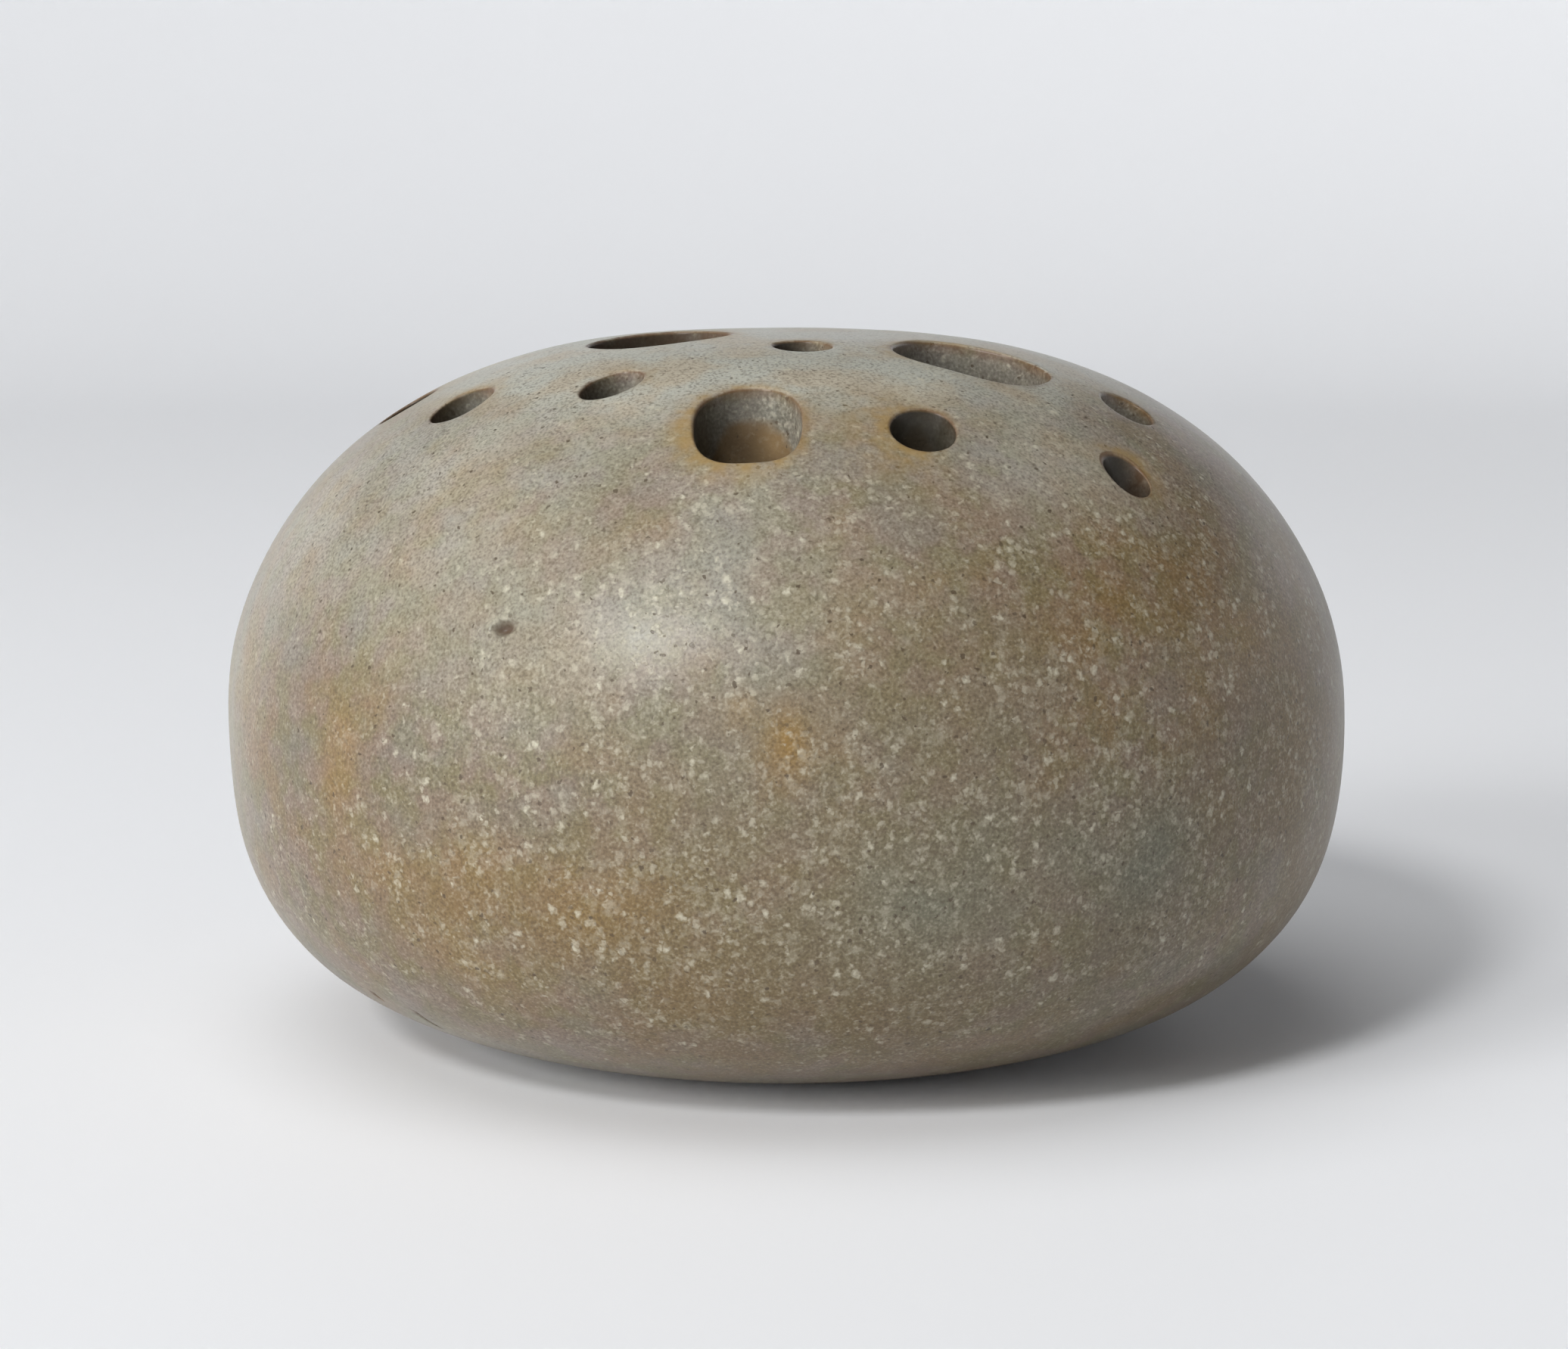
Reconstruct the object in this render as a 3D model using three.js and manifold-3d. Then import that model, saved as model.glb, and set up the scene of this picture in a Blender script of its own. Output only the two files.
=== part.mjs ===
// A stoneware flower frog: a hollow, flattened pebble with stem holes cut through its crown.
// Millimetres, +Z up, with the origin under the middle of the foot. -Y is the front.
// Two fired-clay pieces: the pierced shell, and the slab that closes its underside.
import * as THREE from "three";
import { mergeVertices } from "three/addons/utils/BufferGeometryUtils.js";
import Module from "manifold-3d";

// Driving dimensions.
const BELLY_RADIUS = 85;
const BELLY_HEIGHT = 52; // the widest level
const CROWN_RISE = 54; // from the belly up to the apex
const BOWL_DEPTH = 54; // from the belly down to the bottom of the full curve, a little under the foot
const WALL = 9; // from the belly down
const CROWN_WALL = 13; // at the apex, so that the holes are deep enough to hold a stem upright
const FOOT_RADIUS = 40;
const FOOT_OPENING_RADIUS = 33; // the foot ring is what is left between this and the foot's edge
const SLAB_RECESS = 1.5; // how far the slab is set up from the foot's flat
const SLAB_THICKNESS = 8;
const LUTE_GAP = 0.3; // between the slab's edge and the foot ring
const CUTTER_REACH = 6; // how far the holes' cutters stand above the apex

// The crown is squarish in section and nearly flat on top, and the bowl is a fuller curve.
const CROWN_OUT = 0.72;
const CROWN_UP = 1.15;
const BOWL_OUT = 2 / 3;
const BOWL_DOWN = 2 / 3;

// How finely the faceted solids follow the curves.
const TURN_SEGMENTS = 56;
const CROWN_STEPS = 11;
const BOWL_STEPS = 8;
const BIG_HOLE_SIDES = 20;
const SMALL_HOLE_SIDES = 16;

// Each stem hole: where its middle is, as an azimuth from +X in degrees and a distance from the
// axis, then its mouth as measured on the slope: its half width across the slope and half length
// up it, how far it is turned, and how square its outline is (2 is an ellipse).
const BIG_HOLES = [
  { azimuth: -95, distance: 56, across: 7.3, up: 9.3, turned: 5, squareness: 2.4 },
  { azimuth: -43, distance: 36.5, across: 9.7, up: 11.5, turned: 21, squareness: 2.5 },
  { azimuth: -148, distance: 22, across: 9.5, up: 10.5, turned: 0, squareness: 2.3 },
  { azimuth: 92, distance: 46, across: 9.5, up: 9, turned: 10, squareness: 2.3 },
];
const SMALL_HOLES = [
  { azimuth: -71, distance: 57.3, across: 5.1, up: 4.4, turned: 54, squareness: 2 },
  { azimuth: -85, distance: 26.8, across: 4.2, up: 4.4, turned: 0, squareness: 2 },
  { azimuth: -121.5, distance: 46.5, across: 3.9, up: 5, turned: -16, squareness: 2 },
  { azimuth: -149, distance: 54.2, across: 4.6, up: 4.9, turned: 20, squareness: 2.3 },
  { azimuth: -174, distance: 56.8, across: 5, up: 5, turned: 0, squareness: 2 },
  { azimuth: -45, distance: 66.6, across: 3.4, up: 4, turned: 0, squareness: 2.2 },
  { azimuth: -27, distance: 55.3, across: 5, up: 4.1, turned: 26, squareness: 2 },
  { azimuth: 65, distance: 19, across: 4.5, up: 4.5, turned: 0, squareness: 2 },
  { azimuth: 18, distance: 57, across: 4.5, up: 4.7, turned: 0, squareness: 2 },
  { azimuth: 55, distance: 57, across: 4.7, up: 4.4, turned: 0, squareness: 2 },
  { azimuth: 128, distance: 52, across: 4.5, up: 4.8, turned: 0, squareness: 2 },
  { azimuth: 160, distance: 58, across: 4.4, up: 4.5, turned: 0, squareness: 2 },
];

const wasm = await Module();
wasm.setup();

// A closed geometry as a solid that can be joined and cut. Faces that merging has closed up,
// such as those at a pole of a turned shape, are left out.
function solid(geometry) {
  const bare = geometry.clone();
  bare.deleteAttribute("normal");
  bare.deleteAttribute("uv");
  const merged = mergeVertices(bare);
  const corners = merged.index.array;
  const faces = [];
  for (let i = 0; i < corners.length; i += 3) {
    const [a, b, c] = [corners[i], corners[i + 1], corners[i + 2]];
    if (a !== b && b !== c && c !== a) faces.push(a, b, c);
  }
  const vertProperties = merged.attributes.position.array;
  return new wasm.Manifold(new wasm.Mesh({ numProp: 3, vertProperties, triVerts: new Uint32Array(faces) }));
}

function geometryOf(cut) {
  const mesh = cut.getMesh();
  const geometry = new THREE.BufferGeometry();
  geometry.setAttribute("position", new THREE.BufferAttribute(mesh.vertProperties, 3));
  geometry.setIndex(new THREE.BufferAttribute(mesh.triVerts, 1));
  geometry.computeVertexNormals();
  return geometry;
}

// How far inside the outer surface each of the two surfaces lies, at its side and at its top.
const OUTSIDE = { side: 0, top: 0 };
const INSIDE = { side: WALL, top: CROWN_WALL };

// A point of a surface's section, with turn from 0 at the apex to 90 degrees at the belly.
function crownPoint(turn, inset) {
  const out = (BELLY_RADIUS - inset.side) * Math.sin(turn) ** CROWN_OUT;
  return new THREE.Vector2(out, BELLY_HEIGHT + (CROWN_RISE - inset.top) * Math.cos(turn) ** CROWN_UP);
}

// The same for the bowl, with turn from 0 at the belly to 90 degrees at the bottom of its curve.
function bowlPoint(turn, inset) {
  const out = (BELLY_RADIUS - inset.side) * Math.cos(turn) ** BOWL_OUT;
  return new THREE.Vector2(out, BELLY_HEIGHT - (BOWL_DEPTH - inset.side) * Math.sin(turn) ** BOWL_DOWN);
}

// The section from a radius low on the bowl, up over the belly, to the axis at the apex. The
// bowl's steps are eased so that they are of about equal height.
function section(lowestRadius, inset) {
  const lowestTurn = Math.acos((lowestRadius / (BELLY_RADIUS - inset.side)) ** (1 / BOWL_OUT));
  const points = [];
  for (let i = BOWL_STEPS; i > 0; i -= 1) {
    points.push(bowlPoint(lowestTurn * (i / BOWL_STEPS) ** (1 / BOWL_DOWN), inset));
  }
  for (let i = CROWN_STEPS; i > 0; i -= 1) {
    points.push(crownPoint((Math.PI / 2) * (i / CROWN_STEPS), inset));
  }
  points.push(new THREE.Vector2(0, BELLY_HEIGHT + CROWN_RISE - inset.top));
  return points;
}

// A section turned about +Z.
function turned(points) {
  return new THREE.LatheGeometry(points, TURN_SEGMENTS).rotateX(Math.PI / 2);
}

function pebble() {
  const rim = new THREE.Vector2(FOOT_RADIUS, 0);
  return turned([new THREE.Vector2(0, 0), rim, ...section(FOOT_RADIUS, OUTSIDE).slice(1)]);
}

function hollow() {
  const below = [new THREE.Vector2(0, -1), new THREE.Vector2(FOOT_OPENING_RADIUS, -1)];
  return turned([...below, ...section(FOOT_OPENING_RADIUS, INSIDE)]);
}

// How far the crown's outward normal leans from +Z at a distance from the axis.
function leanAt(distance) {
  const turn = Math.asin((distance / BELLY_RADIUS) ** (1 / CROWN_OUT));
  const outRate = BELLY_RADIUS * CROWN_OUT * Math.sin(turn) ** (CROWN_OUT - 1) * Math.cos(turn);
  const downRate = CROWN_RISE * CROWN_UP * Math.cos(turn) ** (CROWN_UP - 1) * Math.sin(turn);
  return Math.atan2(downRate, outRate);
}

// The cutter for one stem hole: its mouth, as seen from above, run straight down through the
// crown as far as the hollow.
function holeCutter(hole, sides) {
  const middle = new THREE.Vector2();
  const foreshortening = Math.cos(leanAt(hole.distance));
  const bend = 2 / hole.squareness;
  const outline = [];
  for (let i = 0; i < sides; i += 1) {
    const angle = (2 * Math.PI * i) / sides;
    const x = hole.across * Math.sign(Math.cos(angle)) * Math.abs(Math.cos(angle)) ** bend;
    const y = hole.up * Math.sign(Math.sin(angle)) * Math.abs(Math.sin(angle)) ** bend;
    const point = new THREE.Vector2(x, y).rotateAround(middle, THREE.MathUtils.degToRad(hole.turned));
    outline.push(point.setY(point.y * foreshortening));
  }
  const depth = CROWN_RISE + CUTTER_REACH;
  const cutter = new THREE.ExtrudeGeometry(new THREE.Shape(outline), { depth, bevelEnabled: false });
  cutter.rotateZ(Math.PI / 2);
  cutter.translate(hole.distance, 0, BELLY_HEIGHT);
  cutter.rotateZ(THREE.MathUtils.degToRad(hole.azimuth));
  return cutter;
}

function pierced() {
  let shell = solid(pebble()).subtract(solid(hollow()));
  for (const hole of BIG_HOLES) shell = shell.subtract(solid(holeCutter(hole, BIG_HOLE_SIDES)));
  for (const hole of SMALL_HOLES) shell = shell.subtract(solid(holeCutter(hole, SMALL_HOLE_SIDES)));
  return geometryOf(shell);
}

function slab() {
  const radius = FOOT_OPENING_RADIUS - LUTE_GAP;
  const top = SLAB_RECESS + SLAB_THICKNESS;
  const corners = [[0, SLAB_RECESS], [radius, SLAB_RECESS], [radius, top], [0, top]];
  return turned(corners.map(([out, up]) => new THREE.Vector2(out, up)));
}

function piece(name, geometry, material) {
  const mesh = new THREE.Mesh(geometry, new THREE.MeshStandardMaterial(material));
  mesh.name = name;
  return mesh;
}

const flowerFrog = new THREE.Group();
flowerFrog.add(piece("pierced_shell", pierced(), { color: 0x9c8b74, roughness: 0.45, metalness: 0 }));
flowerFrog.add(piece("base_slab", slab(), { color: 0xa98663, roughness: 0.85, metalness: 0 }));

export default flowerFrog;
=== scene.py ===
# The looks of a stoneware flower frog: a hollow, flattened pebble with stem holes in its crown.
# Metres, +Z up, the CAD model's frame. -Y is the front, and azimuths are measured from +X.
import math
from collections import namedtuple

import bmesh
import bpy
import numpy as np
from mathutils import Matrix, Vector, noise
from mathutils.geometry import delaunay_2d_cdt


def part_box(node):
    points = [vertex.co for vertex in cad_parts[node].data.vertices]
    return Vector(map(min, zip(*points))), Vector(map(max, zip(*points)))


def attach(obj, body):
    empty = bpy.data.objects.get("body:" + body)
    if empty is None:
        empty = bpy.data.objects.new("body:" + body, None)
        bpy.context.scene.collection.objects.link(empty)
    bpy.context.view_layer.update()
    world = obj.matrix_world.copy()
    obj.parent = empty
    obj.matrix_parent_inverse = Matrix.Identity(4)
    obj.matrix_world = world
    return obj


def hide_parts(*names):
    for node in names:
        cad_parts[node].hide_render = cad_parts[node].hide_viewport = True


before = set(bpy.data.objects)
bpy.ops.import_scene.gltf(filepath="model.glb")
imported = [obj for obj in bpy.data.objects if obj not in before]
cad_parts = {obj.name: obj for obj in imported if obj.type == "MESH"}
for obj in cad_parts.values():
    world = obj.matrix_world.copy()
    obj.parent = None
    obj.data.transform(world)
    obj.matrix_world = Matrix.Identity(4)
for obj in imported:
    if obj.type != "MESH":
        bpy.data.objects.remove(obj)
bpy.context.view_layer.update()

MM = 0.001
TINY = 1e-6  # keeps divisions clear of 0
_, shell_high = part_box("pierced_shell")
slab_low, slab_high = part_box("base_slab")

# The pebble's section, as the CAD model has it.
BELLY_RADIUS = shell_high.x
BELLY_HEIGHT = 52 * MM
CROWN_RISE = shell_high.z - BELLY_HEIGHT
BOWL_DEPTH = 54 * MM
WALL = 9 * MM
CROWN_WALL = 13 * MM
FOOT_RADIUS = 40 * MM
FOOT_OPENING_RADIUS = 33 * MM
FOOT_EASE = 0.8 * MM
FOOT_TURN = 1.5 * MM  # how far outside the foot's edge the bowl's curve ends
CROWN_OUT, CROWN_UP = 0.72, 1.15
BOWL_OUT, BOWL_DOWN = 2 / 3, 2 / 3

# Stem holes: azimuth and turn in degrees, the rest in millimetres, squareness 2 for an ellipse.
# The glaze runs that many millimetres down the hole's wall before the clay is bare. Dark is how
# much painted shade darkens the wall: 0 for shade on its darkest side, 1.2 for nearly black all round.
# The stains are the ochre blushes round a hole: (direction, reach in millimetres, strength), with
# the direction in degrees from rightwards, anticlockwise, as seen from outside.
# Where the outline's lower half is squarer than the rest, that comes last.
FIELDS = "azimuth distance across up turned squareness glaze dark stains lower_squareness"
Hole = namedtuple("Hole", FIELDS, defaults=[0])
FRONT_STAINS = [(185, 2.4, 0.7), (235, 2.8, 1.0), (10, 1.4, 0.5), (90, 1.4, 0.5)]
BIG_HOLES = [
    Hole(-95.3, 55.1, 7.4, 9.0, 5, 2.2, 4.4, 0.12, FRONT_STAINS, lower_squareness=3.0),
    Hole(-43, 36.5, 9.7, 11.5, 21, 2.5, 12, 0.0, [(90, 2.5, 0.7), (200, 2.5, 0.3)]),
    Hole(-148, 22, 9.5, 10.5, 0, 2.3, 0.6, 0.15, [(90, 2.5, 0.6), (0, 2.0, 0.4)]),
    Hole(92, 46, 9.5, 9, 10, 2.3, 5, 0.1, [(210, 3.5, 0.8), (60, 3.0, 0.4)]),
]
SMALL_HOLES = [
    Hole(-71, 57.3, 5.1, 4.4, 54, 2, 2.5, 1.2, [(180, 7.0, 0.9), (225, 2.2, 0.5), (60, 1.5, 0.6)]),
    Hole(-85, 26.8, 4.2, 4.4, 0, 2, 3, 0.5, [(90, 2.0, 0.5)]),
    Hole(-121.5, 46.5, 3.9, 5, -16, 2, 6, 0.0, [(60, 2.5, 0.5)]),
    Hole(-149, 54.2, 4.6, 4.9, 20, 2.3, 2.5, 0.1, [(90, 2.0, 0.7)]),
    Hole(-174, 56.8, 5, 5, 0, 2, 4, 0.3, [(45, 2.0, 0.5)]),
    Hole(-45, 66.6, 3.4, 4, 0, 2.2, 0.8, 1.0, [(60, 2.6, 0.9), (0, 2.4, 0.8)]),
    Hole(-27, 55.3, 5, 4.1, 26, 2, 8, 0.2, [(90, 2.5, 0.4)]),
    Hole(65, 19, 4.5, 4.5, 0, 2, 4, 0.4, [(200, 2.5, 0.4)]),
    Hole(18, 57, 4.5, 4.7, 0, 2, 5, 0.3, [(120, 3.0, 0.5)]),
    Hole(55, 57, 4.7, 4.4, 0, 2, 3, 0.6, [(180, 5.0, 0.7)]),
    Hole(128, 52, 4.5, 4.8, 0, 2, 6, 0.4, [(270, 2.5, 0.4)]),
    Hole(160, 58, 4.4, 4.5, 0, 2, 4, 0.5, [(60, 3.0, 0.5)]),
]
DARK_TOWARDS = 168  # the direction, given as the stains' are, in which the painted shade on the walls is darkest
DARK_SPREAD = 0.55  # how much darker and lighter the painted shade makes the two sides of a wall than its dark
DARK_MOST = 0.92

# A hole's lip rolls over the outside by its reach, made wavy round the hole, and into its wall.
LIP_REACH = 0.55 * MM
INNER_LIP_REACH = 1.2 * MM
LIP_WAVE, LIP_RIPPLE = 0.2, 0.1
LIP_WEIGHT = 0.75  # 1 for a parabola, less for a flatter curve
TOOL_MARK = 0.16 * MM
TOOL_MARK_SIZE = 4 * MM
UNEVEN_OVAL, UNEVEN_CORNERED = 0.012, 0.009  # how far a hand-cut outline strays, as a share

# The glaze runs thin on the lips, and stops some way down the holes' walls, in millimetres: least
# far on the side towards the middle of the crown, and the droop further on the other side.
LIP_CREST = 0.05 * MM
LIP_FADE = 0.35 * MM
GLAZE_LINE_DROOP = 13.0
GLAZE_LINE_FADE = 1.6
GLAZE_LINE_WANDER = 1.2
WANDER_SIZE = 4 * MM
RUSTY_GLAZE = 1  # glaze that runs down less than this has turned to rust on the whole wall
ALL_GLAZED = -9.0
WALL_REACH = 3 * MM  # a point that is farther than this from an outline isn't on its wall

# One small pit in the glaze, and two drying cracks low on the left of the foot, each given by its
# azimuth, height and half length down the slope.
PIT_AZIMUTH = -117.6
PIT_HEIGHT = 69.4 * MM
PIT_HALF_WIDTH = 1.9 * MM
PIT_HALF_HEIGHT = 1.15 * MM
PIT_TURNED = 11
PIT_DEPTH = 1.1 * MM
PIT_EDGE = 1.15  # where it starts, as a share of its size
PIT_RIM = 0.12 * MM  # how far the glaze stands up round it
PIT_RIM_SHARE, PIT_RIM_WIDTH = 1.25, 0.2
PIT_SLICE = 4 * MM  # points farther in or out than this aren't at the pit
ELSEWHERE = 9
CRACKS = [(-136.9, 10.6 * MM, 3.2 * MM), (-143.4, 13.0 * MM, 1.4 * MM)]
CRACK_WIDTH = 0.36 * MM
CRACK_DEPTH = 0.35 * MM
CRACK_WANDER = 0.25 * MM
CRACK_WAVES = 2.6
CRACK_STRETCH, CRACK_TAPER = 1.45, 1.6  # how fast a crack ends, along it

# How far the thrown surface strays from a true one, over which sizes.
BROAD_STRAY, BROAD_SIZE = 0.35 * MM, 42 * MM
CLOSE_STRAY, CLOSE_SIZE = 0.1 * MM, 13 * MM
TRUE_FOOT, TRUE_FOOT_FADE = 4 * MM, 14 * MM  # the foot is flat, so it strays only above this

# How finely the surfaces are made.
SECTION_SAMPLES = 3000
SECTION_STEP = 0.25 * MM
BELLY_EASE = 4 * MM
BELLY_EASE_REACH = 22 * MM
BELLY_EASE_SPAN = 3
OUTLINE_SAMPLES = 1440
OUTER_SPACING = 2.1 * MM
INNER_SPACING = 3.6 * MM
FARTHEST_LIP = LIP_REACH * 1.4
NEAR_LIP = FARTHEST_LIP + 0.5 * MM  # where the rings of points round a hole's lip are
FAR_LIP = FARTHEST_LIP + 1.4 * MM
HOLE_CLEARANCE = 0.45  # between those and the even points, as a share of the spacing
BELLY_CLEARANCE = 0.6
BIG_HOLE_POINTS = 96
SMALL_HOLE_POINTS = 56
LIP_STEPS = 6
WALL_STEPS = 10
RING_POINTS = 256
CRACK_POINTS = 19
CRACK_FAN, CRACK_CLEAR = 1.8, 2.2  # in degrees either side of a crack
BOWL_SPACING, CRACK_SPACING = 1.9 * MM, 0.4 * MM
CRACK_BAND = (16 * MM, 6.5 * MM)  # the heights between which the bowl's rings are closer
HOLLOW_RINGS = 34
EDGE_STEPS = 5  # round each eased edge
PIT_SIDES = 24
PIT_RINGS = (0.25, 0.5, 0.7, 0.85, 1.0, 1.15, 1.4, 1.8)
PIT_CLEARANCE = 2.1 * PIT_HALF_WIDTH

# A point's depth is 0 on the outside and 1 inside the hollow. Round a lip it goes up to LIP_DEPTH,
# and down a hole's wall it goes from WALL_DEPTH on, by WALL_DEPTHS in all.
LIP_DEPTH = 0.18
WALL_DEPTH, WALL_DEPTHS = 0.2, 0.7
SKIN_DEPTH = 0.05  # less than this is the outside alone
WALL_GLAZE_DEPTH = 0.12  # the pale places end here, and the walls' own glaze starts
STAIN_DEPTH = 0.22
THIN_DEPTH = 0.3
DEPTH_FADE = 0.2
DARK_DEPTH, DARK_DEPTH_FADE = 0.08, 0.1


def smooth(value):
    """0 to 1 with an eased start and end."""
    value = np.clip(value, 0, 1)
    return value * value * (3 - 2 * value)


def bell(value):
    """1 where the value is 0, falling away on both sides."""
    return np.exp(-(value**2))


def ripple(points, size):
    """A smooth random number from -1 to 1 for each point, which changes over about that size."""
    return np.array([noise.noise(Vector(p)) for p in np.asarray(points) / size])


def turned_by(degrees, x, y):
    """Two coordinates, turned anticlockwise."""
    a = math.radians(degrees)
    return x * math.cos(a) - y * math.sin(a), x * math.sin(a) + y * math.cos(a)


def run_along(x, y):
    """How far along a line of points each one is."""
    return np.concatenate(([0], np.cumsum(np.hypot(np.diff(x), np.diff(y)))))


def ring(out, up, azimuths):
    """A level ring of points about the axis."""
    across = out * np.cos(azimuths), out * np.sin(azimuths)
    return np.stack((*across, np.full(len(azimuths), up)), -1)


# ---- The pebble's section ----

Section = namedtuple("Section", "out up arc lean belly")


def eased(values, near):
    """Values along the section, averaged with those beside them where near is 1."""
    steps = np.arange(-BELLY_EASE_SPAN * BELLY_EASE, BELLY_EASE_SPAN * BELLY_EASE, SECTION_STEP)
    weights = np.exp(-0.5 * (steps / BELLY_EASE) ** 2)
    weights /= weights.sum()
    return values + near * (np.convolve(values, weights, "same") - values)


def section(side_inset, top_inset, lowest_radius):
    """The pebble's side, from the apex down to a radius low on the bowl, in even steps."""
    turn = np.linspace(0, math.pi / 2, SECTION_SAMPLES)
    wide = BELLY_RADIUS - side_inset
    crown_out = wide * np.sin(turn) ** CROWN_OUT
    crown_up = BELLY_HEIGHT + (CROWN_RISE - top_inset) * np.abs(np.cos(turn)) ** CROWN_UP
    bowl_out = wide * np.abs(np.cos(turn[1:])) ** BOWL_OUT
    bowl_up = BELLY_HEIGHT - (BOWL_DEPTH - side_inset) * np.sin(turn[1:]) ** BOWL_DOWN
    kept = bowl_out >= lowest_radius
    out = np.concatenate((crown_out, bowl_out[kept]))
    up = np.concatenate((crown_up, bowl_up[kept]))
    run = run_along(out, up)
    even = np.linspace(0, run[-1], int(run[-1] / SECTION_STEP))
    out, up = np.interp(even, run, out), np.interp(even, run, up)
    # The crown and the bowl bend by different amounts where they meet, so the belly is eased.
    near = smooth(1 - np.abs(up - BELLY_HEIGHT) / BELLY_EASE_REACH)
    out, up = eased(out, near), eased(up, near)
    arc = run_along(out, up)
    lean = np.arctan2(-np.gradient(up, arc), np.gradient(out, arc))
    return Section(out, up, arc, lean, int(np.argmax(out)))


def crown_values(side, distance, values):
    """One of the section's columns, read off the crown at a distance from the axis."""
    return np.interp(distance, side.out[: side.belly + 1], values[: side.belly + 1])


def section_point(side, arc):
    """How far out and up the section is, at an arc length down from the apex."""
    return np.interp(arc, side.arc, side.out), np.interp(arc, side.arc, side.up)


def flattened(side, points):
    """Points of the crown laid out flat, with their arc length as the distance from the middle."""
    arc = crown_values(side, np.hypot(points[:, 0], points[:, 1]), side.arc)
    azimuth = np.arctan2(points[:, 1], points[:, 0])
    return np.stack((arc * np.cos(azimuth), arc * np.sin(azimuth)), -1)


# ---- Meshes ----


class Clay:
    """Points, with their depths, and faces on their way to being a mesh."""

    def __init__(self):
        self.points, self.depths, self.faces = [], [], []

    def add(self, points, depth=0.0):
        start = len(self.points)
        self.points.extend(np.asarray(points, float))
        self.depths.extend(np.broadcast_to(depth, len(points)))
        return np.arange(start, len(self.points))

    def strip(self, first, second):
        """Quads between two closed loops of as many points."""
        for a, b, c, d in zip(first, np.roll(first, -1), np.roll(second, -1), second):
            self.faces.append((a, b, c, d))

    def strips(self, loops):
        for first, second in zip(loops, loops[1:]):
            self.strip(first, second)

    def cap(self, loop, centre):
        middle = self.add([centre])[0]
        for a, b in zip(loop, np.roll(loop, -1)):
            self.faces.append((a, b, middle))

    def piece(self, name, fields):
        """The finished object, smooth-shaded, with its faces out and one attribute a field."""
        mesh = bpy.data.meshes.new(name)
        faces = [tuple(map(int, face)) for face in self.faces]
        mesh.from_pydata([tuple(point) for point in self.points], [], faces)
        shape = bmesh.new()
        shape.from_mesh(mesh)
        bmesh.ops.recalc_face_normals(shape, faces=shape.faces)
        shape.to_mesh(mesh)
        shape.free()
        mesh.shade_smooth()
        for field, values in fields.items():
            attribute = mesh.attributes.new(field, "FLOAT", "POINT")
            attribute.data.foreach_set("value", np.asarray(values, np.float32))
        piece = bpy.data.objects.new(name, mesh)
        bpy.context.scene.collection.objects.link(piece)
        return piece


# ---- The stem holes ----

Place = namedtuple("Place", "centre across uphill normal lean")


def place_on_crown(side, azimuth, distance):
    """A point of the outer crown, with the directions across the slope, up it and out of it."""
    a = math.radians(azimuth)
    lean = float(crown_values(side, distance, side.lean))
    height = float(crown_values(side, distance, side.up))
    centre = np.array([distance * math.cos(a), distance * math.sin(a), height])
    across = np.array([-math.sin(a), math.cos(a), 0])
    normal = np.array([math.sin(lean) * math.cos(a), math.sin(lean) * math.sin(a), math.cos(lean)])
    return Place(centre, across, np.cross(normal, across), normal, lean)


def hole_place(side, hole):
    return place_on_crown(side, hole.azimuth, hole.distance * MM)


def points_round(hole):
    return BIG_HOLE_POINTS if hole in BIG_HOLES else SMALL_HOLE_POINTS


def squareness_at(hole, up):
    """How square a hole's outline is, for heights above its middle."""
    return np.where(up < 0, hole.lower_squareness or hole.squareness, hole.squareness)


def outline(hole, place):
    """A hole's outline seen from above in even steps, slightly uneven as a hand-cut one is, and its
    outward normals. Both are across the slope and up it."""
    angle = np.linspace(0, 2 * math.pi, OUTLINE_SAMPLES, endpoint=False)
    bend = 2 / squareness_at(hole, np.sin(angle))
    x = hole.across * MM * np.sign(np.cos(angle)) * np.abs(np.cos(angle)) ** bend
    y = hole.up * MM * np.sign(np.sin(angle)) * np.abs(np.sin(angle)) ** bend
    oval = UNEVEN_OVAL * np.sin(2 * angle + hole.azimuth)
    cornered = UNEVEN_CORNERED * np.sin(3 * angle + hole.distance)
    line = np.stack(turned_by(hole.turned, x, y), -1)
    line *= (1 + oval + cornered)[:, None] * [1, math.cos(place.lean)]
    closed = np.vstack((line, line[:1]))
    run = run_along(*closed.T)
    even = np.linspace(0, run[-1], points_round(hole), endpoint=False)
    line = np.stack([np.interp(even, run, column) for column in closed.T], -1)
    along = np.roll(line, -1, 0) - np.roll(line, 1, 0)
    outward = np.stack((along[:, 1], -along[:, 0]), -1)
    return line, outward / np.linalg.norm(outward, axis=1)[:, None]


def over(side, place, flat):
    """The points of a surface that are straight above or below points laid out round a place."""
    inward = np.array([-place.centre[0], -place.centre[1]]) / np.hypot(*place.centre[:2])
    plan = place.centre[:2] + flat @ np.array([place.across[:2], inward])
    return np.column_stack((plan, crown_values(side, np.hypot(*plan.T), side.up)))


def rolled(side, place, line, outward, reach, drop):
    """Loops that roll from a surface over a hole's edge into its straight wall."""
    start = over(side, place, line + outward * reach)
    edge = over(side, place, line)
    end = edge - np.array([0, 0, 1]) * drop
    loops = []
    for t in np.linspace(0, 1, LIP_STEPS + 1):
        weights = np.array([(1 - t) ** 2, 2 * t * (1 - t) * LIP_WEIGHT, t**2])
        weights /= weights.sum()
        loops.append(weights[0] * start + weights[1] * edge + weights[2] * end)
    return loops


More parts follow.
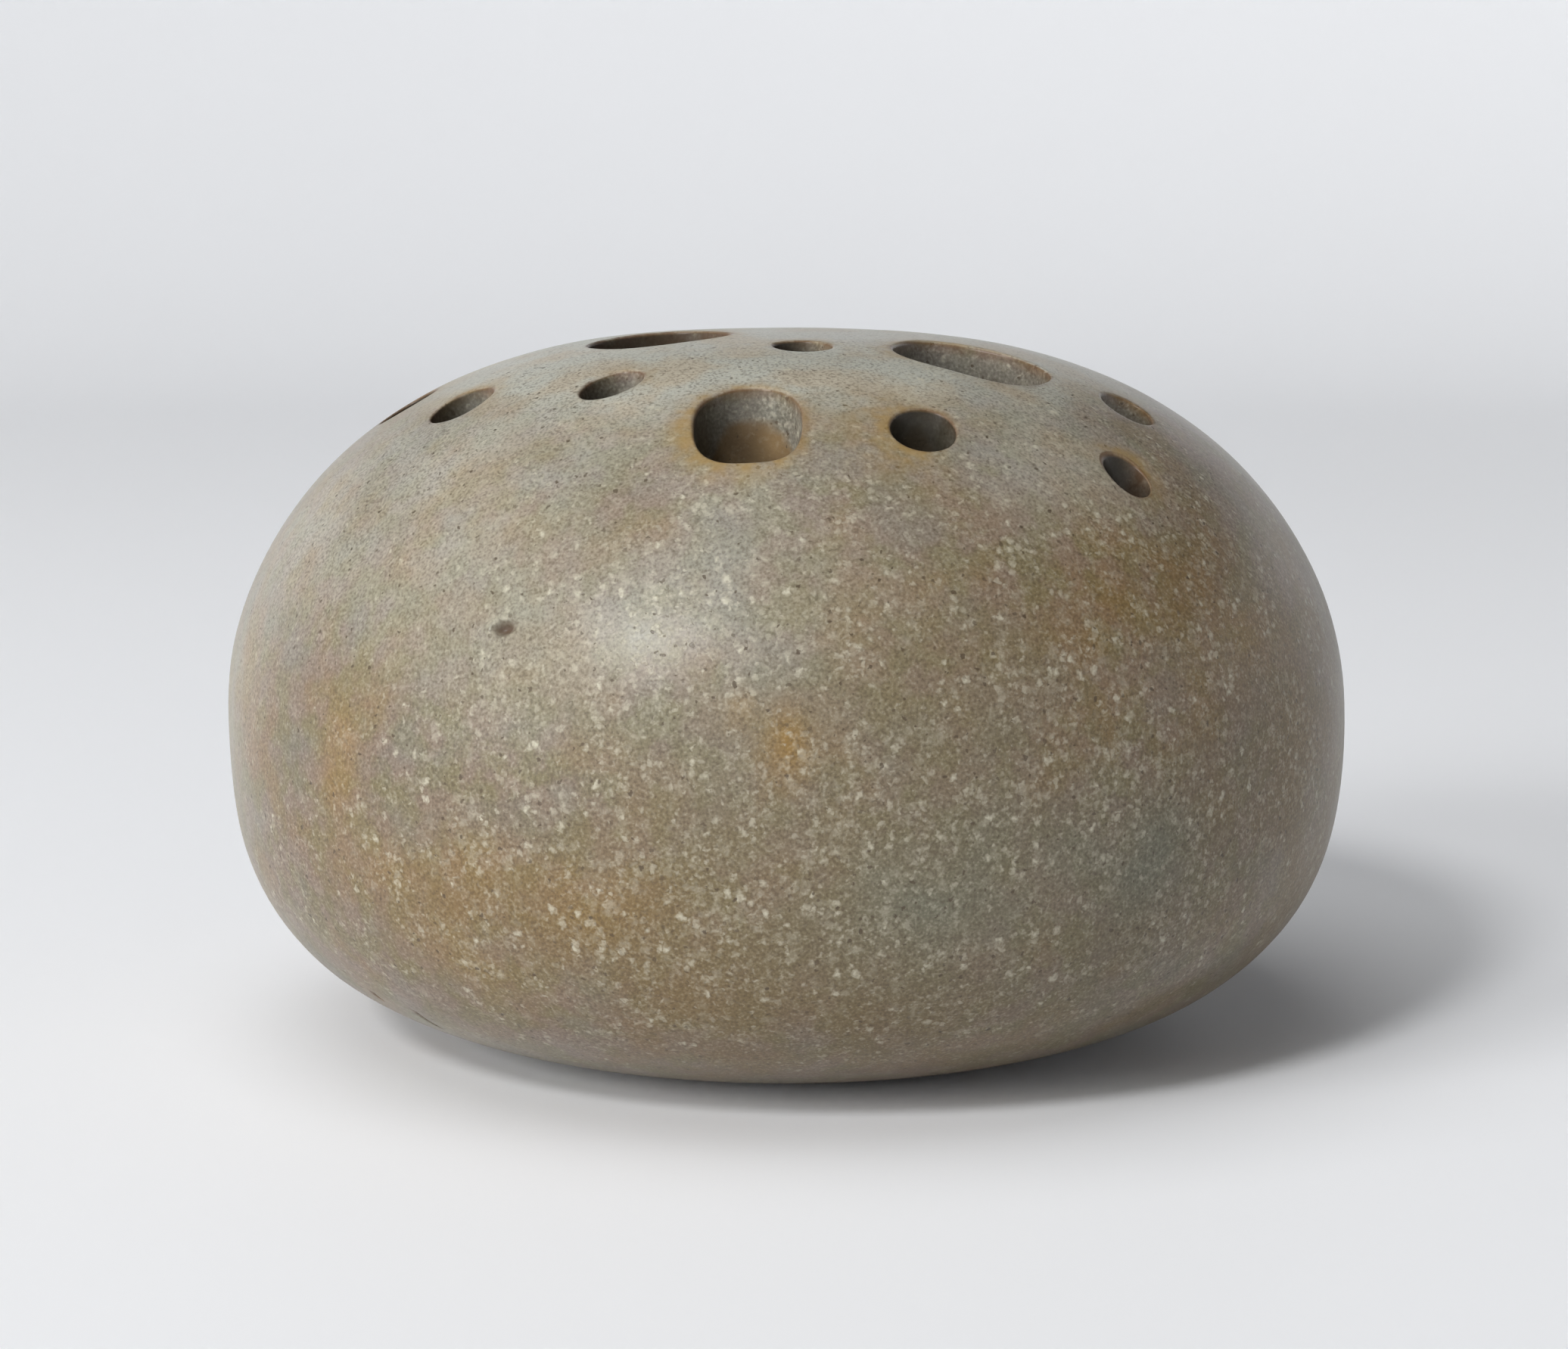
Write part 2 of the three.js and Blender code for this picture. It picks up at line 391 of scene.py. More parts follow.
def wall_loops(first, last, place):
    """Loops between the two ends of a hole's wall, with tool marks, and the share of each."""
    away = first - first.mean(0)
    away[:, 2] = 0
    away /= np.linalg.norm(away, axis=1)[:, None]
    own_marks = 7 * place.centre  # so that no two holes are marked alike
    for share in np.linspace(0, 1, WALL_STEPS + 1)[1:-1]:
        wall = first + (last - first) * share
        marks = TOOL_MARK * math.sin(math.pi * share) * ripple(wall + own_marks, TOOL_MARK_SIZE)
        yield wall + away * marks[:, None], share


def cut_hole(clay, hole, place, outer, inner):
    """A hole's rounded lips and its wall. Returns its loops on the outer and the inner surface."""
    line, outward = outline(hole, place)
    around = np.linspace(0, 2 * math.pi, len(line), endpoint=False)
    wavy = 1 + LIP_WAVE * np.sin(around + hole.azimuth) + LIP_RIPPLE * np.sin(3 * around)
    reach = (LIP_REACH * wavy)[:, None]
    loops = rolled(outer, place, line, outward, reach, reach)
    depths = list(np.linspace(0, LIP_DEPTH, len(loops)))
    inner_loops = rolled(inner, place, line, outward, INNER_LIP_REACH, -INNER_LIP_REACH)[::-1]
    for wall, share in wall_loops(loops[-1], inner_loops[0], place):
        loops.append(wall)
        depths.append(WALL_DEPTH + WALL_DEPTHS * share)
    loops += inner_loops
    depths += [1.0] * len(inner_loops)
    rows = [clay.add(points, depth) for points, depth in zip(loops, depths)]
    clay.strips(rows)
    return rows[0], rows[-1]


def beside(place, points):
    """How far points are across the slope and up it, as seen from above and laid onto the slope."""
    away = points - place.centre
    inward = -place.centre[:2] / np.hypot(*place.centre[:2])
    return away @ place.across, away[:, :2] @ inward / math.cos(place.lean)


def outside_of(hole, place, points, margin):
    """How far each point is outside a hole's outline grown by a margin, along a line to its middle."""
    x, y = turned_by(-hole.turned, *beside(place, points))
    across = hole.across * MM + margin
    up = hole.up * MM + margin
    n = squareness_at(hole, y)
    grown = (np.abs(x / across) ** n + np.abs(y / up) ** n) ** (1 / n)
    return np.hypot(x, y) * (1 - 1 / np.maximum(grown, TINY))


# ---- The crown between the holes ----


def spread(side, holes, spacing, margin):
    """Points spread evenly over the crown, clear of the holes grown by a margin."""
    rings = [[[0, 0, side.up[0]]]]
    end = side.arc[side.belly] - BELLY_CLEARANCE * spacing
    for k, arc in enumerate(np.arange(spacing, end, spacing)):
        count = int(round(2 * math.pi * arc / spacing))
        turn = 2 * math.pi * (np.arange(count) + 0.5 * (k % 2)) / count
        rings.append(ring(*section_point(side, arc), turn))
    points = np.vstack(rings)
    clear = np.ones(len(points), bool)
    for hole, place in holes:
        clear &= outside_of(hole, place, points, margin) > HOLE_CLEARANCE * spacing
    return points[clear]


def graded(side, hole, place):
    """Rings of points on the crown round a hole, so that the faces grow evenly away from its lip."""
    line, outward = outline(hole, place)
    near = over(side, place, line + outward * NEAR_LIP)
    far = over(side, place, (line + outward * FAR_LIP)[::2])
    return [near, far]


def crown_points(outer, holes, pit):
    """The points of the outer crown: close together round the holes and the pit, then even."""
    even = spread(outer, holes, OUTER_SPACING, FAR_LIP)
    even = even[np.linalg.norm(even - pit.mean(0), axis=1) > PIT_CLEARANCE]
    rings = [points for hole, place in holes for points in graded(outer, hole, place)]
    return np.vstack([even, *rings, pit])


def fill_crown(clay, side, rims, border, points, depth):
    """Triangles over the crown, between the ring at the belly and the rims of the holes."""
    ids = np.concatenate(rims + [border, clay.add(points, depth)])
    owner = np.full(len(ids), -1)
    edges, start = [], 0
    for k, loop in enumerate(rims + [border]):
        edges += [(start + i, start + (i + 1) % len(loop)) for i in range(len(loop))]
        if k < len(rims):
            owner[start : start + len(loop)] = k
        start += len(loop)
    flat = flattened(side, np.array([clay.points[i] for i in ids]))
    _, _, faces, origins, _, _ = delaunay_2d_cdt([Vector(p) for p in flat], edges, [], 0, 1e-8)
    first = [origin[0] for origin in origins]
    for face in faces:
        corners = [first[i] for i in face]
        owners = {owner[i] for i in corners}
        if len(owners) > 1 or owners == {-1}:
            clay.faces.append(tuple(ids[corners]))


# ---- The bowl, the foot, the pit and the cracks ----


def ring_azimuths():
    """Azimuths of the rings below the belly, closer together where the drying cracks are."""
    even = np.linspace(-180, 180, RING_POINTS, endpoint=False)
    for azimuth, _, _ in CRACKS:
        even = even[np.abs(even - azimuth) > CRACK_CLEAR]
        fan = azimuth + np.linspace(-CRACK_FAN, CRACK_FAN, CRACK_POINTS)
        even = np.concatenate((even, fan))
    return np.radians(np.sort(even))


def bowl_arcs(outer):
    """Arc lengths of the bowl's rings, closer together at the height of the drying cracks."""
    belly, end = outer.arc[outer.belly], outer.arc[-1]
    coarse = np.arange(belly, end, BOWL_SPACING)
    low, high = [np.interp(-z, -outer.up[outer.belly :], outer.arc[outer.belly :]) for z in CRACK_BAND]
    close = np.arange(low, high, CRACK_SPACING)
    return np.concatenate((coarse[coarse < low], close, coarse[coarse > high], [end]))


def foot_path():
    """The foot ring's section, from its outer edge to the slab's recess."""
    corner = FOOT_EASE
    path = [(FOOT_RADIUS + 0.5 * MM, 0.05 * MM), (FOOT_RADIUS - 0.6 * MM, 0)]
    flat = np.linspace(FOOT_RADIUS - 2 * MM, FOOT_OPENING_RADIUS + 1.2 * MM, 4)
    path += [(out, 0) for out in flat]
    for turn in np.linspace(0, math.pi / 2, EDGE_STEPS):
        out = FOOT_OPENING_RADIUS + corner * (1 - math.sin(turn))
        path.append((out, corner * (1 - math.cos(turn))))
    return path + [(FOOT_OPENING_RADIUS, up) for up in (2 * MM, 3.4 * MM)]


def ring_path(outer, inner):
    """The section below the belly: down the bowl, under the foot ring and up inside the hollow.
    Also how many of its points are on the bowl."""
    path = [section_point(outer, arc) for arc in bowl_arcs(outer)]
    bowl_rings = len(path)
    path += foot_path()
    arcs = np.linspace(inner.arc[-1], inner.arc[inner.belly], HOLLOW_RINGS)
    path += [section_point(inner, arc) for arc in arcs]
    return path, bowl_rings


def pit_points(outer):
    """Fine rings of points for the pit, and the pit's place."""
    distance = np.interp(-PIT_HEIGHT, -outer.up, outer.out)
    place = place_on_crown(outer, PIT_AZIMUTH, distance)
    turn = np.linspace(0, 2 * math.pi, PIT_SIDES, endpoint=False)
    grow = np.array(PIT_RINGS)[:, None]
    x = grow * PIT_HALF_WIDTH * np.cos(turn)
    y = grow * PIT_HALF_HEIGHT * np.sin(turn)
    flat = np.vstack(([[0, 0]], np.stack((x, y), -1).reshape(-1, 2)))
    flat = np.stack(turned_by(PIT_TURNED, *flat.T), -1)
    return over(outer, place, flat * [1, math.cos(place.lean)]), place


def pit_share(points, place):
    """0 at the middle of the pit, 1 at its edge and more outside it."""
    away = points - place.centre
    x, y = turned_by(-PIT_TURNED, away @ place.across, away @ place.uphill)
    elsewhere = np.abs(away @ place.normal) > PIT_SLICE
    return np.hypot(x / PIT_HALF_WIDTH, y / PIT_HALF_HEIGHT) + ELSEWHERE * elsewhere


def degrees_between(points, azimuth):
    """Each point's azimuth less the one given, from -180 to 180."""
    turn = np.degrees(np.arctan2(points[:, 1], points[:, 0])) - azimuth
    return (turn + 180) % 360 - 180


def crack_share(points, azimuth, height, half_length):
    """1 along a drying crack's line, falling to 0 beside it and towards its ends."""
    down = (points[:, 2] - height) / half_length * CRACK_STRETCH
    wander = CRACK_WANDER * np.sin(down * CRACK_WAVES + azimuth)
    across = np.radians(degrees_between(points, azimuth)) * np.hypot(points[:, 0], points[:, 1])
    ends = smooth(CRACK_TAPER - CRACK_TAPER * np.abs(down))
    return ends * bell((across + wander) / CRACK_WIDTH)


# ---- Where the glaze has which colour ----

# Soft patches, placed one by one: azimuth in degrees, then height, half width and half height in
# millimetres, and strength.
# Pale patches: a paler glaze, and on the upper left, the left side and the crown partly painted light.
PALE = [
    (-142, 84, 36, 18, 0.65), (-166, 58, 18, 28, 0.6), (-110, 97, 44, 9, 0.45),
    (-98, 76, 30, 13, 0.35), (-52, 92, 26, 9, 0.75), (150, 84, 44, 20, 0.6),
    (-142, 7, 24, 5, 0.4), (-118, 67, 13, 11, 0.25), (-102, 64, 26, 14, 0.07),
]
SLATE = [
    (-100, 62, 30, 18, 0.45), (-84, 34, 22, 14, 0.45), (-118, 67, 13, 11, 0.35),
    (-66, 37, 24, 13, 0.9), (-54, 39, 9, 7, 0.5), (-139, 7, 12, 4, 0.8),
    (-50, 18, 24, 8, 0.5), (-30, 34, 12, 12, 0.1), (110, 40, 30, 18, 0.7),
    (-10, 60, 12, 20, 0.2),
]
# Brown patches: a browner glaze, and on the right and low on the front partly painted shade.
BROWN = [
    (-40, 56, 16, 22, 0.15), (-112, 30, 34, 13, 0.6), (-88, 14, 44, 10, 0.35),
    (-75, 66, 18, 14, 0.35), (-92, 38, 30, 12, 0.35), (10, 66, 30, 20, 0.8),
    (60, 30, 40, 16, 0.7), (170, 24, 40, 14, 0.6), (95, 74, 22, 14, 0.5),
    (-68, 30, 56, 30, 0.45), (-22, 40, 22, 34, 1.0), (-84, 34, 24, 14, 0.2),
]
OCHRE = [
    (-90, 56, 2.8, 4.2, 1.0), (-94, 60.5, 2.2, 2.2, 0.5), (-136, 52, 4.5, 9, 0.75),
    (-131, 36, 14, 5, 0.35), (-118, 41, 6, 5, 0.4), (-108, 35, 8, 5, 0.45),
    (-70, 84, 7, 3, 0.25), (-122, 24, 12, 7, 0.3), (-40, 66, 8, 5, 0.3),
    (-50, 70, 20, 14, 0.45), (-28, 50, 14, 20, 0.2), (18, 62, 4, 8, 0.8),
    (44, 34, 16, 6, 0.5), (78, 48, 3, 4, 0.9), (120, 62, 5, 7, 0.7),
    (142, 30, 16, 7, 0.5), (170, 50, 8, 9, 0.5),
]
FLECKED = [
    (-82, 46, 50, 44, 0.55), (-90, 84, 26, 14, 0.4), (-50, 60, 44, 40, 0.35),
    (-118, 26, 40, 22, 0.35), (-60, 92, 40, 14, 0.25), (-46, 68, 20, 16, 0.25),
    (-112, 62, 26, 26, 0.35), (0, 44, 60, 40, 0.55), (60, 60, 50, 34, 0.5),
    (118, 42, 60, 34, 0.6), (-176, 26, 40, 24, 0.5),
]
STAIN_ALL_ROUND, STAIN_FACING = 0.35, 0.75
LEAST_FLECKED = 0.44
# The crown is painted paler towards its top: partly a paler glaze, partly painted light from above.
PALE_AND_LIT_TOP, PALE_TOP_HEIGHT, PALE_TOP_FADE = 1.1, 93 * MM, 9 * MM


def patches(points, places):
    """The sum of soft patches, which reach through the wall."""
    total = np.zeros(len(points))
    for azimuth, height, half_width, half_height, strength in places:
        across = np.radians(degrees_between(points, azimuth)) * BELLY_RADIUS / MM
        along = points[:, 2] / MM - height
        total += strength * np.exp(-((across / half_width) ** 2) - (along / half_height) ** 2)
    return total


def on_crown(points):
    """1 above the belly and 0 below it, where points are under the holes but not beside them."""
    return points[:, 2] > BELLY_HEIGHT


def stains(outer, points, depths):
    """How strongly the ochre blush round each stem hole shows."""
    total = np.zeros(len(points))
    for hole in BIG_HOLES + SMALL_HOLES:
        place = hole_place(outer, hole)
        u, v = beside(place, points)
        gap = np.maximum(outside_of(hole, place, points, 0), 0) / MM
        for towards, reach, strength in hole.stains:
            a = math.radians(towards)
            facing = (u * math.cos(a) + v * math.sin(a)) / np.maximum(np.hypot(u, v), TINY)
            total += strength * smooth(STAIN_ALL_ROUND + STAIN_FACING * facing) * bell(gap / reach)
    return np.clip(total, 0, 1) * smooth((STAIN_DEPTH - depths) / DEPTH_FADE) * on_crown(points)


def lips(outer, points, depths):
    """1 on the rims of the stem holes, where the glaze runs thin, falling to 0 close by."""
    total = np.zeros(len(points))
    for hole in BIG_HOLES + SMALL_HOLES:
        gap = outside_of(hole, hole_place(outer, hole), points, LIP_CREST)
        total = np.maximum(total, bell(gap / LIP_FADE))
    return total * smooth((THIN_DEPTH - depths) / DEPTH_FADE) * on_crown(points)


def below_lips(outer, points, depths):
    """How far each point of the stem holes' walls is below the lip, less how far the glaze runs down
    there, in millimetres, how rusty it is and how dark its painted shade is. The glaze runs least far
    on the side towards the middle of the crown, and where it hardly runs in at all the wall has turned
    to rust."""
    below = np.full(len(points), ALL_GLAZED)
    rusty = np.zeros(len(points))
    dark = np.zeros(len(points))
    a = math.radians(DARK_TOWARDS)
    for hole in BIG_HOLES + SMALL_HOLES:
        place = hole_place(outer, hole)
        close = np.abs(outside_of(hole, place, points, 0)) < WALL_REACH
        inside = close & (depths > 0.01) & (depths < 1)
        u, v = beside(place, points[inside])
        top = crown_values(outer, np.hypot(points[inside, 0], points[inside, 1]), outer.up)
        out = np.maximum(np.hypot(u, v), TINY)
        droop = GLAZE_LINE_DROOP * (1 - np.clip(v / out, 0, 1))
        # Painted shade on the hole's wall: darkest towards DARK_TOWARDS, lighter on the other side.
        dark[inside] = smooth(hole.dark + DARK_SPREAD * (u * math.cos(a) + v * math.sin(a)) / out)
        below[inside] = (top - points[inside, 2]) / MM - hole.glaze - droop
        if hole.glaze < RUSTY_GLAZE:
            rusty[inside] = 1
            below[inside] = ALL_GLAZED
    return below, rusty, DARK_MOST * dark * smooth((depths - DARK_DEPTH) / DARK_DEPTH_FADE)


def shell_fields(outer, points, depths, in_pit, cracked):
    """What the glaze's material reads at each point."""
    below, rusty, dark = below_lips(outer, points, depths)
    below += GLAZE_LINE_WANDER * ripple(points, WANDER_SIZE)
    outside = depths < 0.5
    clay_line = np.where(depths == 1, 1, smooth(below / GLAZE_LINE_FADE + 0.5))
    foot = smooth((0.5 * MM - points[:, 2]) / (0.5 * MM))
    # The top is painted paler: partly a paler glaze, partly painted light from above.
    pale_and_lit_top = PALE_AND_LIT_TOP * smooth((points[:, 2] - PALE_TOP_HEIGHT) / PALE_TOP_FADE)
    return {
        "bare": np.maximum(clay_line, foot),
        "pale": (patches(points, PALE) + pale_and_lit_top) * (depths < WALL_GLAZE_DEPTH),
        "slate": patches(points, SLATE),
        "brown": patches(points, BROWN),
        "ochre": patches(points, OCHRE) * outside,
        "flecked": LEAST_FLECKED + patches(points, FLECKED),
        "stain": stains(outer, points, depths),
        "lip": np.maximum(lips(outer, points, depths), rusty),
        "wall": smooth((depths - WALL_GLAZE_DEPTH) / DEPTH_FADE) * (depths < 1),
        # painted shade inside the stem holes
        "dark": dark,
        "mark": np.maximum(smooth(PIT_RIM_SHARE - in_pit) * outside, cracked),
    }


# ---- The pierced shell ----


def cut_holes(clay, holes, outer, inner):
    """All the holes' lips and walls. Returns their rims on the outer and on the inner surface."""
    rims = [cut_hole(clay, hole, place, outer, inner) for hole, place in holes]
    return [rim for rim, _ in rims], [inner_rim for _, inner_rim in rims]


def make_rings(clay, outer, inner):
    """The shell below the belly. Returns its first ring and its last."""
    azimuths = ring_azimuths()
    path, bowl_rings = ring_path(outer, inner)
    rings = []
    for k, (out, up) in enumerate(path):
        rings.append(clay.add(ring(out, up, azimuths), 0.0 if k < bowl_rings else 1.0))
    clay.strips(rings)
    return rings[0], rings[-1]


def reshaped(points, on_skin, in_pit, pit_normal, cracked):
    """The points moved, for the thrown surface's unevenness, the pit and the drying cracks."""
    away = points - [0, 0, BELLY_HEIGHT]
    away /= np.linalg.norm(away, axis=1)[:, None]
    uneven = BROAD_STRAY * ripple(points, BROAD_SIZE) + CLOSE_STRAY * ripple(points + 1, CLOSE_SIZE)
    clear_of_foot = smooth((points[:, 2] - TRUE_FOOT) / TRUE_FOOT_FADE)
    moved = points + away * (uneven * clear_of_foot)[:, None]
    rim = PIT_RIM * bell((in_pit - PIT_RIM_SHARE) / PIT_RIM_WIDTH)
    pit_drop = PIT_DEPTH * smooth(PIT_EDGE - in_pit) - rim
    moved -= pit_normal * (pit_drop * on_skin)[:, None]
    return moved - away * (CRACK_DEPTH * cracked)[:, None]


def make_shell():
    outer = section(0, 0, FOOT_RADIUS + FOOT_TURN)
    inner = section(WALL, CROWN_WALL, FOOT_OPENING_RADIUS)
    clay = Clay()
    holes = [(hole, hole_place(outer, hole)) for hole in BIG_HOLES + SMALL_HOLES]
    rims, inner_rims = cut_holes(clay, holes, outer, inner)
    first, last = make_rings(clay, outer, inner)
    pit, pit_place = pit_points(outer)
    fill_crown(clay, outer, rims, first, crown_points(outer, holes, pit), 0.0)
    inner_points = spread(inner, holes, INNER_SPACING, INNER_LIP_REACH)
    fill_crown(clay, inner, inner_rims, last, inner_points, 1.0)

    points, depths = np.array(clay.points), np.array(clay.depths)
    on_skin = depths < SKIN_DEPTH
    in_pit = pit_share(points, pit_place)
    cracked = np.zeros(len(points))
    for crack in CRACKS:
        cracked = np.maximum(cracked, crack_share(points, *crack) * on_skin)
    clay.points = list(reshaped(points, on_skin, in_pit, pit_place.normal, cracked))
    return clay.piece("glazed_shell", shell_fields(outer, points, depths, in_pit, cracked))


# ---- The base slab ----

SLAB_GAP = 0.1 * MM  # between its edge and the foot ring
SLAB_EASE = 0.7 * MM
SLAB_POINTS = 160
SLAB_RINGS = 70
SLAB_TOP_RINGS = 16
TURNING_MARK = 0.11 * MM
TURNING_MARK_SIZE = 0.42 * MM
SLAB_STRAY, SLAB_STRAY_SIZE = 0.12 * MM, 9 * MM


def slab_path():
    """The slab's section, from the middle of its underside round its edge to its top."""
    radius = FOOT_OPENING_RADIUS - SLAB_GAP
    bottom, top = slab_low.z, slab_high.z
    ease = SLAB_EASE
    path = []
    for out in np.linspace(1.2 * MM, radius - ease, SLAB_RINGS):
        path.append((out, bottom + TURNING_MARK * (1 + math.sin(out / TURNING_MARK_SIZE))))
    for a in np.linspace(0, math.pi / 2, EDGE_STEPS):
        path.append((radius - ease + ease * math.sin(a), bottom + ease * (1 - math.cos(a))))
    for a in np.linspace(math.pi / 2, 0, EDGE_STEPS):
        path.append((radius - ease + ease * math.sin(a), top - ease * (1 - math.cos(a))))
    return path + [(out, top) for out in np.linspace(radius - 2 * ease, 2 * MM, SLAB_TOP_RINGS)]


def make_slab():
    """The luted slab, with turning marks underneath and an eased edge."""
    clay = Clay()
    turn = np.linspace(0, 2 * math.pi, SLAB_POINTS, endpoint=False)
    bottom, top = slab_low.z, slab_high.z
    rows = []
    for out, up in slab_path():
        loop = ring(out, up, turn)
        loop[:, 2] += SLAB_STRAY * ripple(loop, SLAB_STRAY_SIZE) * (up > bottom + SLAB_EASE)
        rows.append(clay.add(loop))
    clay.strips(rows)
    clay.cap(rows[0], (0, 0, bottom + 0.1 * MM))
    clay.cap(rows[-1], (0, 0, top))
    return clay.piece("luted_slab", {})


# ---- Materials ----


class Shader:
    """Short names for the nodes that the materials are made of."""

    def __init__(self, name):
        self.material = bpy.data.materials.new(name)
        self.material.use_nodes = True
        self.tree = self.material.node_tree
        self.tree.nodes.clear()
        self.output = self.add("OutputMaterial")
        self.place = self.add("TexCoord").outputs["Object"]

    def add(self, kind, inputs=(), **settings):
        node = self.tree.nodes.new("ShaderNode" + kind)
        for name, value in settings.items():
            setattr(node, name, value)
        for socket, value in dict(inputs).items():
            if isinstance(value, bpy.types.NodeSocket):
                self.tree.links.new(value, node.inputs[socket])
            else:
                node.inputs[socket].default_value = value
        return node

    def math(self, operation, first, second=0.0, clamp=False):
        inputs = {0: first, 1: second}
        return self.add("Math", inputs, operation=operation, use_clamp=clamp).outputs[0]

    def times(self, first, second, clamp=False):
        return self.math("MULTIPLY", first, second, clamp)

    def vector(self, operation, inputs):
        return self.add("VectorMath", inputs, operation=operation).outputs[0]

    def mix(self, share, first, second):
        """One colour over another."""
        first, second = [(*c, 1) if isinstance(c, tuple) else c for c in (first, second)]
        node = self.add("Mix", {0: share, 6: first, 7: second}, data_type="RGBA")
        return node.outputs[2]

    def ramp(self, value, start, end, low=0.0, high=1.0):
        """A smooth step from low to high while the value goes from start to end."""
        inputs = {"Value": value, "From Min": start, "From Max": end, "To Min": low, "To Max": high}
        return self.add("MapRange", inputs, interpolation_type="SMOOTHSTEP").outputs[0]

    def noise(self, size, detail=2.0, at=None, seed=0.0, colour=False):
        inputs = {"Vector": at or self.place, "Scale": 1 / size, "Detail": detail, "W": seed}
        node = self.add("TexNoise", inputs, noise_dimensions="4D")
        return node.outputs["Color" if colour else "Fac"]

    def field(self, name):
        return self.add("Attribute", attribute_name=name).outputs["Fac"]

    def shifted(self, amount, size, seed):
        """The place, pushed about a little, so that shapes laid over it have ragged edges."""
        push = self.vector("SUBTRACT", {0: self.noise(size, 2, seed=seed, colour=True), 1: (0.5,) * 3})
        scaled = self.vector("SCALE", {0: push, "Scale": amount})
        return self.vector("ADD", {0: self.place, 1: scaled})

    def spots(self, at, cell, share, size, soft):
        """Scattered spots, about one a cell in that share of the cells, up to a size of the cell."""
        cells = self.add("TexVoronoi", {"Vector": at, "Scale": 1 / cell})
        lots = self.add("SeparateColor", {"Color": cells.outputs["Color"]})
        won = self.math("SUBTRACT", share, lots.outputs[0], clamp=True)
        grown = self.times(self.math("POWER", won, 0.5), size)
        edge = self.math("SUBTRACT", grown, cells.outputs["Distance"])
        spot = self.math("DIVIDE", edge, soft, clamp=True)
        return self.times(spot, self.ramp(lots.outputs[1], 0.0, 1.0, low=0.3))

    def finish(self, colour, roughness, height, bump):
        bumped = self.add("Bump", {"Height": height, "Strength": 1.0, "Distance": bump})
        inputs = {"Base Color": colour, "Roughness": roughness, "Normal": bumped.outputs[0]}
        shader = self.add("BsdfPrincipled", {**inputs, "Specular IOR Level": GLOSS})
        self.tree.links.new(shader.outputs[0], self.output.inputs[0])
        return self.material


GLOSS = 0.34

GREIGE = (0.172, 0.134, 0.090)
MAUVE = (0.182, 0.134, 0.104)
OLIVE = (0.150, 0.127, 0.066)
BLUE_GREY = (0.150, 0.144, 0.124)
TAN = (0.185, 0.112, 0.048)
PALE_GREY = (0.386, 0.388, 0.336)
PALE_TAN = (0.378, 0.338, 0.262)
SLATE_GREY = (0.136, 0.130, 0.092)
BROWN_OLIVE = (0.150, 0.101, 0.043)
OCHRE_CLAY = (0.275, 0.178, 0.060)
RUST = (0.098, 0.048, 0.023)
WALL_GLAZE = (0.150, 0.144, 0.120)
CREAM = (0.480, 0.450, 0.350)
IRON = (0.060, 0.041, 0.025)
PIT_BROWN = (0.080, 0.048, 0.030)
# the near-black of the painted shade inside the stem holes
PAINTED_SHADE = (0.022, 0.018, 0.011)
OCHRE_PATCH = (0.222, 0.134, 0.042)
BUFF = (0.255, 0.172, 0.082)
TOASTED = (0.150, 0.098, 0.048)

# The lengths over which the glaze and the clay vary.
CLOUD_SIZE = 16 * MM
DRIFT_SIZE = 15 * MM
WARM_SIZE = 12 * MM
PALE_DRIFT_SIZE = 10 * MM
MOTTLE_SIZE = 5 * MM
GRAIN_SIZE = 0.42 * MM
ORANGE_PEEL_SIZE = 1.6 * MM
BLUSH_SIZE = 2.2 * MM
THIN_SIZE = 3.5 * MM
TOAST_SIZE = 14 * MM
CLAY_GRAIN_SIZE = 0.9 * MM

# The flecks and specks: how far apart they are, and how they are clustered and made ragged.
BIG_FLECK_CELL = 1.55 * MM
SMALL_FLECK_CELL = 1.1 * MM
SPECK_CELL = 1.35 * MM
CLUSTER_SIZE = 6 * MM
HAZE_SIZE = 1.7 * MM
WEAR_SIZE = 0.55 * MM
FLECK_PUSH, FLECK_PUSH_SIZE = 2.0 * MM, 0.9 * MM
SPECK_PUSH, SPECK_PUSH_SIZE = 1.2 * MM, 0.8 * MM

GLAZE_BUMP = 0.06 * MM
SLAB_BUMP = 0.12 * MM


def iron_specks(s, share, size, soft):
    """Dark specks, which the glaze and the clay have in the same places."""
    at = s.shifted(SPECK_PUSH, SPECK_PUSH_SIZE, seed=15)
    return s.spots(at, SPECK_CELL, share, size, soft)


def clay_colours(s):
    """Bare stoneware: toasted buff with iron specks. Returns its colour and its specks."""
    grain = s.noise(CLAY_GRAIN_SIZE, 3, seed=21)
    toast = s.ramp(s.noise(TOAST_SIZE, 3, seed=9), 0.35, 0.65)
    colour = s.mix(toast, BUFF, TOASTED)
    colour = s.mix(s.ramp(grain, 0.5, 0.8, high=0.18), colour, CREAM)
    specks = iron_specks(s, share=0.5, size=0.27, soft=0.1)
    return s.mix(specks, colour, IRON), specks


def patchy(s, cloud, field, gain, least=0.45):
    """One of the shell's fields, made uneven by a slow noise."""
    uneven = s.ramp(cloud, 0.3, 0.7, low=least, high=1.85 - least)
    return s.times(s.times(s.field(field), uneven), gain, clamp=True)


